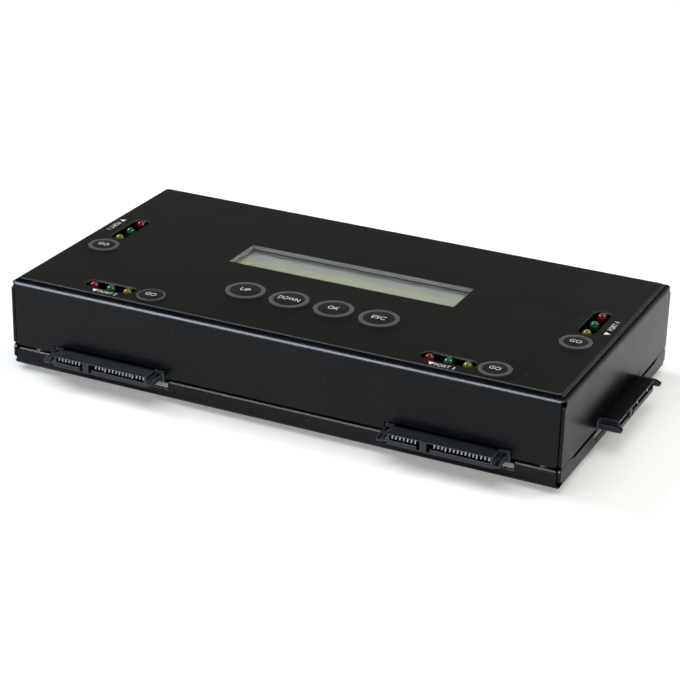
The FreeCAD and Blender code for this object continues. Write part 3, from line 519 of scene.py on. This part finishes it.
for name, colour in LENSES:
    tree, shader = new_finish(name, colour, 0.03, **LENS_GLOSS)
    raise_grain(tree, shader, grain(tree, 0.9 * MM), 0.003 * MM)
    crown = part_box(name.replace("_lens", "_lamps"))[1].z
    height = put(tree, "SeparateXYZ", place_of(tree)).outputs["Z"]
    # Painted shade: the lens colour is painted darker towards its foot, deep in the slot.
    lit = remap(tree, height, crown - 2.4 * MM, crown - 1.2 * MM, 0.0, 1.0)
    haze = spread(tree, grain(tree, 1.2 * MM, detail=3.0), 0.02, 0.06)
    feed(tree, shader, Roughness=haze, Base_Color=blend(tree, lit, toned(colour, 0.12), toned(colour)))
print("lens epoxies:", len(LENSES))

# %% [markdown]
# ## Mouldings
# Sockets, power inlet, switches, headers and the chip are moulded black plastics. They
# differ in gloss: the socket's glass-filled plastic is dull with fine pale fibres, the
# inlet is smoother, the chip is dead matt. Their edges are painted pale, partly as wear
# from plugs and partly as a painted highlight along them, and the sockets' upright faces
# are painted paler as painted light from the front.

# %% Black mouldings
SOCKET_SIDES_PAINTED_LIGHT = (0.050, 0.057, 0.075, 1)
WORN_EDGE_AND_PAINTED_HIGHLIGHT = (0.34, 0.36, 0.40, 1)
MOULDINGS = (
    ("socket_plastic", (0.003, 0.0042, 0.0062), 0.34, 0.35 * MM, 0.008 * MM),
    ("jack_plastic", (0.010, 0.010, 0.011), 0.38, 0.40 * MM, 0.012 * MM),
    ("switch_plastic", (0.030, 0.030, 0.030), 0.55, 0.30 * MM, 0.010 * MM),
    ("header_plastic", (0.020, 0.020, 0.020), 0.55, 0.30 * MM, 0.010 * MM),
    ("chip_plastic", (0.018, 0.018, 0.018), 0.70, 0.20 * MM, 0.020 * MM),
)

for name, colour, rough, pitch, depth in MOULDINGS:
    tree, shader = new_finish(name, colour, rough, Specular_IOR_Level=0.16)
    raise_grain(tree, shader, grain(tree, pitch, detail=3.0), depth, edge=0.15 * MM)
    flow = grain(tree, 5 * MM, detail=4.0, stretch=(0.4, 1, 1))
    fibre = grain(tree, 0.4 * MM, detail=1.0, stretch=(0.25, 1, 1))
    fibre = remap(tree, fibre, 0.62, 0.75, 0.0, 0.25)
    base = blend(tree, fibre, toned(colour), toned(colour, 2.5))
    # Painted light: the sockets' upright faces are painted paler, as lit from the front.
    if name == "socket_plastic":
        base = blend(tree, side_faces(tree), base, SOCKET_SIDES_PAINTED_LIGHT)
    # Wear and painted highlight: the edges are painted pale, partly as worn and partly as catching the
    # light.
    wear_and_sheen = math_of(tree, "MULTIPLY", outer_edge(tree, 0.3 * MM), 0.8)
    feed(tree, shader, Base_Color=blend(tree, wear_and_sheen, base, WORN_EDGE_AND_PAINTED_HIGHLIGHT))
    feed(tree, shader, Roughness=spread(tree, flow, rough - 0.07, rough + 0.07))
print("mouldings:", len(MOULDINGS))

# %% [markdown]
# ## Metals
# Contacts are tinned spring bronze, legs and the frames inside the lamps are tinned,
# spacers are turned and screws are plated with zinc. Drawn and turned metal has fine
# lines along one direction: a grain stretched out does that. Dull patches are also darker.

# %% Metals
METALS = (
    ("contact_metal", (0.80, 0.80, 0.80), 0.42, (1, 0.1, 1)),
    ("tinned_wire", (0.74, 0.74, 0.72), 0.28, (1, 1, 0.1)),
    ("spacer_metal", (0.42, 0.42, 0.43), 0.42, (0.1, 0.1, 1)),
    ("screw_steel", (0.60, 0.61, 0.62), 0.30, (1, 1, 1)),
)

for name, colour, rough, stretch in METALS:
    tree, shader = new_finish(name, colour, rough, Metallic=1.0)
    raise_grain(tree, shader, grain(tree, 0.2 * MM, stretch=stretch), 0.006 * MM)
    dull = grain(tree, 2 * MM, detail=4.0)
    darker = remap(tree, dull, 0.4, 0.75, 0.0, 1.0)
    feed(tree, shader, Base_Color=blend(tree, darker, toned(colour), toned(colour, 0.8)))
    feed(tree, shader, Roughness=spread(tree, dull, rough - 0.08, rough + 0.10))
print("metals:", len(METALS))

# %% [markdown]
# ## Circuit boards
# The boards are glass-epoxy under green solder mask. Their sawn edges have no mask, and
# show the pale, greenish weave: the upright part of the surface normal tells edge from
# face. Copper under the mask shows as slightly lighter lines, here the borders of random
# cells.

# %% Boards
MASK = (0.004, 0.022, 0.011, 1)
MASK_ON_COPPER = (0.010, 0.050, 0.024, 1)
WEAVE_DEEP = (0.14, 0.17, 0.09, 1)
WEAVE_PALE = (0.52, 0.58, 0.44, 1)
CELLS_PER_METRE = 260.0
TRACK_SHARE = 0.07

tree, shader = new_finish("circuit_board", (0.02, 0.10, 0.045), 0.35)
edge = side_faces(tree)
borders = put(
    tree, "TexVoronoi", place_of(tree), sockets={"Scale": CELLS_PER_METRE}, feature="DISTANCE_TO_EDGE"
)
copper = math_of(tree, "LESS_THAN", borders.outputs["Distance"], TRACK_SHARE)
mask = blend(tree, copper, MASK, MASK_ON_COPPER)
weave = blend(tree, grain(tree, 0.5 * MM, detail=3.0, stretch=(1, 1, 4)), WEAVE_DEEP, WEAVE_PALE)
feed(tree, shader, Base_Color=blend(tree, edge, mask, weave))
feed(tree, shader, Roughness=remap(tree, edge, 0.0, 1.0, 0.35, 0.7))
raise_grain(tree, shader, copper, 0.02 * MM)
print("board edge: bare weave")

# %% [markdown]
# ## Rubber, cable and milky plastic
# The feet are matt rubber, the cable is a flat ribbon of grey wires, and the block behind
# the display spreads light through milky plastic. A wave texture draws the wires. It has
# about three ridges in each unit of length, so this scale sets them 0.8 mm apart.

# %% Soft finishes
RUBBER_DEEP = (0.012, 0.012, 0.012, 1)
RUBBER_PALE = (0.035, 0.034, 0.032, 1)
CABLE_DEEP = (0.30, 0.30, 0.30, 1)
CABLE_PALE = (0.45, 0.45, 0.45, 1)
WIRE_SCALE = 393.7

tree, shader = new_finish("foot_rubber", (0.018, 0.018, 0.018), 0.8, Specular_IOR_Level=0.3)
raise_grain(tree, shader, grain(tree, 0.4 * MM, detail=4.0), 0.05 * MM)
feed(tree, shader, Base_Color=blend(tree, grain(tree, 3 * MM, detail=4.0), RUBBER_DEEP, RUBBER_PALE))
tree, shader = new_finish("cable", (0.40, 0.40, 0.40), 0.5)
wires = put(tree, "TexWave", place_of(tree), sockets={"Scale": WIRE_SCALE}).outputs[1]
raise_grain(tree, shader, wires, 0.3 * MM)
feed(tree, shader, Base_Color=blend(tree, wires, CABLE_DEEP, CABLE_PALE))
tree, shader = new_finish("light_block", (0.85, 0.88, 0.80), 0.35, Subsurface_Weight=0.3)
feed(tree, shader, Roughness=spread(tree, grain(tree, 2 * MM), 0.28, 0.42))
print("finishes so far:", len(finishes))

# %% [markdown]
# ## Dress the solids
# The record of the part names a finish for each piece, so one loop hands them out. Only
# the tray differs from its row: it has the paint with the bare rim and its painted highlight.

# %% Hand out the finishes
for row in frame["record"]["subparts"]:
    skin = frame["nodes"][row["node"]].data
    skin.materials.clear()
    skin.materials.append(finishes[row["material_slot"]])
frame["nodes"]["bottom_tray"].data.materials[0] = finishes["tray_paint"]

# %% [markdown]
# ## Lettering
# Keys and ports have plain white words. A picture would blur close up, so they are real
# letters as thick as ink. Text is a curve: it is made a mesh first, then brought to its
# width, turned and set on the face, with its underside sunk in a little.

# %% Ink and letters
INK = 0.02 * MM
INK_LIFT = INK / 4
INK_DEEP = (0.88, 0.88, 0.86, 1)
INK_PALE = (0.98, 0.98, 0.96, 1)
STROKE_OFFSET = -0.008

tree, shader = new_finish("legend_ink", (0.78, 0.78, 0.76), 0.5)
feed(tree, shader, Base_Color=blend(tree, grain(tree, 0.4 * MM, detail=3.0), INK_DEEP, INK_PALE))


def letters(words, width, tall):
    """A flat mesh of words of that width and height, its middle at the origin, as thick as the ink."""
    curve = bpy.data.curves.new("words", "FONT")
    curve.body = words
    curve.extrude = 0.5
    curve.offset = STROKE_OFFSET
    holder = bpy.data.objects.new("words", curve)
    scene.collection.objects.link(holder)
    mesh = bpy.data.meshes.new_from_object(holder.evaluated_get(bpy.context.evaluated_depsgraph_get()))
    bpy.data.objects.remove(holder)
    low = Vector([min(v.co[i] for v in mesh.vertices) for i in range(3)])
    high = Vector([max(v.co[i] for v in mesh.vertices) for i in range(3)])
    mesh.transform(Matrix.Translation(-(low + high) / 2))
    mesh.transform(Matrix.Diagonal((width / (high.x - low.x), tall / (high.y - low.y), INK, 1)))
    return mesh


def swing(bm, verts, degrees):
    """Turns points about the upright axis through the origin."""
    turn = Matrix.Rotation(math.radians(degrees), 3, "Z")
    bmesh.ops.rotate(bm, verts=verts, cent=(0, 0, 0), matrix=turn)


def add_piece(name, bm, finish, body):
    """Makes the bmesh an object that rides on a body."""
    bmesh.ops.remove_doubles(bm, verts=bm.verts, dist=1e-7)
    bmesh.ops.recalc_face_normals(bm, faces=bm.faces)
    mesh = bpy.data.meshes.new(name)
    bm.to_mesh(mesh)
    bm.free()
    mesh.materials.append(finishes[finish])
    piece = bpy.data.objects.new(name, mesh)
    scene.collection.objects.link(piece)
    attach(piece, body)
    return piece


print("ink thickness in mm:", round(INK / MM, 3))

# %% [markdown]
# ## Words on the keys
# A cap is slightly domed, so its word is bent too: each point sinks by the height that the
# dome has lost there. Each word rides with its key. Lengths in the table are in millimetres.

# %% Words on the keys
DOME = 0.15 * MM
KEY_WORDS = (
    ("up", "UP", 3.3, 2.3, 5.15),
    ("down", "DOWN", 7.5, 2.3, 5.15),
    ("ok", "OK", 3.8, 2.3, 5.15),
    ("esc", "ESC", 4.7, 2.3, 5.15),
    ("go_1", "GO", 3.8, 2.1, 3.95),
    ("go_2", "GO", 3.6, 2.1, 4.15),
    ("go_3", "GO", 3.6, 2.1, 3.95),
    ("go_4", "GO", 3.8, 2.1, 3.95),
)

for key, words, width, tall, cap_radius in KEY_WORDS:
    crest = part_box(key + "_key_cap")[1].z
    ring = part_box(key + "_key_ring")
    axis = (ring[0] + ring[1]) / 2
    ball = ((cap_radius * MM) ** 2 + DOME**2) / (2 * DOME)
    bm = bmesh.new()
    bm.from_mesh(letters(words, width * MM, tall * MM))
    bmesh.ops.translate(bm, verts=bm.verts, vec=(axis.x, axis.y, crest + INK_LIFT))
    for vert in bm.verts:
        vert.co.z -= ((vert.co.x - axis.x) ** 2 + (vert.co.y - axis.y) ** 2) / (2 * ball)
    add_piece(key + "_legend", bm, "legend_ink", key + "_key")
print("key words:", len(KEY_WORDS))

# %% [markdown]
# ## Words and arrows at the ports
# Each port has its name and a small arrow, turned to be read from that side. Both are
# printed on the film, so they ride on the casing. Lengths in the table are in millimetres
# and turns in degrees.

# %% Words and arrows at the ports
PORT_TALL = 1.75 * MM
ARROW_RADIUS = 1.3 * MM
PORT_WORDS = (
    ("port_1", 7.5, (-92.1, 10.1), (-92.0, 16.2), -90, 180),
    ("port_2", 6.6, (-62.3, -42.8), (-67.2, -42.6), 0, -90),
    ("port_3", 6.6, (56.4, -43.2), (51.8, -42.8), 0, -90),
    ("port_4", 7.5, (91.7, 10.3), (91.6, 3.6), 90, 0),
)

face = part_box("graphic_overlay")[1].z
for port, width, words_at, arrow_at, turn, point in PORT_WORDS:
    bm = bmesh.new()
    bm.from_mesh(letters("PORT " + port[-1], width * MM, PORT_TALL))
    swing(bm, bm.verts, turn)
    bmesh.ops.translate(bm, verts=bm.verts, vec=(words_at[0] * MM, words_at[1] * MM, 0))
    arrow = bmesh.ops.create_cone(
        bm, cap_ends=True, segments=3, radius1=ARROW_RADIUS, radius2=ARROW_RADIUS, depth=INK
    )["verts"]
    swing(bm, arrow, point - 90)
    bmesh.ops.translate(bm, verts=arrow, vec=(arrow_at[0] * MM, arrow_at[1] * MM, 0))
    bmesh.ops.translate(bm, verts=bm.verts, vec=(0, 0, face + INK_LIFT))
    add_piece(port + "_legend", bm, "legend_ink", "casing")
print("port words:", len(PORT_WORDS))

# %% [markdown]
# ## Inside the lamps
# A lamp's lens is cast round two tinned posts. The wider one ends in a small cup that holds
# the chip. They are what a clear lens shows, so each lamp gets its own. Every slot holds
# three lamps in a row, along the side walls or along the front.

# %% Lamp frames
CUP_FOOT, CUP_MOUTH = 0.42 * MM, 0.66 * MM
CUP_TALL, CUP_HOLLOW, CUP_WALL = 0.70 * MM, 0.32 * MM, 0.10 * MM
CUP_AT, CUP_RISE = -0.22 * MM, 2.55 * MM
POST_THICK = 0.45 * MM
POSTS = ((-0.55 * MM, 0.90 * MM, 2.30 * MM), (0.85 * MM, 0.45 * MM, 2.75 * MM))
SIDE_SLOTS = ((-85.4 * MM, 10.0 * MM), (85.4 * MM, 10.0 * MM))
FRONT_SLOTS = ((-64.2 * MM, -37.8 * MM), (55.4 * MM, -37.8 * MM))
SIDE_PITCH, FRONT_PITCH = 7.2 * MM, 6.3 * MM

lamp_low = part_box("red_lamps")[0].z


def lamp_frame(bm):
    """The two posts and the cup of one lamp, its axis at the origin. Returns their points."""
    cup = bmesh.ops.create_cone(
        bm, cap_ends=True, segments=20, radius1=CUP_FOOT, radius2=CUP_MOUTH, depth=CUP_TALL
    )["verts"]
    top = max({f for v in cup for f in v.link_faces}, key=lambda f: f.calc_center_median().z)
    rim = bmesh.ops.inset_region(bm, faces=[top], thickness=CUP_WALL)
    bmesh.ops.translate(bm, verts=top.verts, vec=(0, 0, -CUP_HOLLOW))
    points = list({v for f in rim["faces"] for v in f.verts} | set(cup))
    bmesh.ops.translate(bm, verts=points, vec=(CUP_AT, 0, lamp_low + CUP_RISE))
    for across, width, tall in POSTS:
        post = bmesh.ops.create_cube(bm, size=1.0)["verts"]
        bmesh.ops.scale(bm, verts=post, vec=(width, POST_THICK, tall))
        bmesh.ops.translate(bm, verts=post, vec=(across, 0, lamp_low + tall / 2))
        points += post
    return points


bm = bmesh.new()
for step in (-1, 0, 1):
    for x, y in SIDE_SLOTS:
        points = lamp_frame(bm)
        swing(bm, points, 90)
        bmesh.ops.translate(bm, verts=points, vec=(x, y + step * SIDE_PITCH, 0))
    for x, y in FRONT_SLOTS:
        points = lamp_frame(bm)
        bmesh.ops.translate(bm, verts=points, vec=(x + step * FRONT_PITCH, y, 0))
lamp_frames = add_piece("lamp_frames", bm, "tinned_wire", "casing")
print("lamp frames: faces", len(lamp_frames.data.polygons))
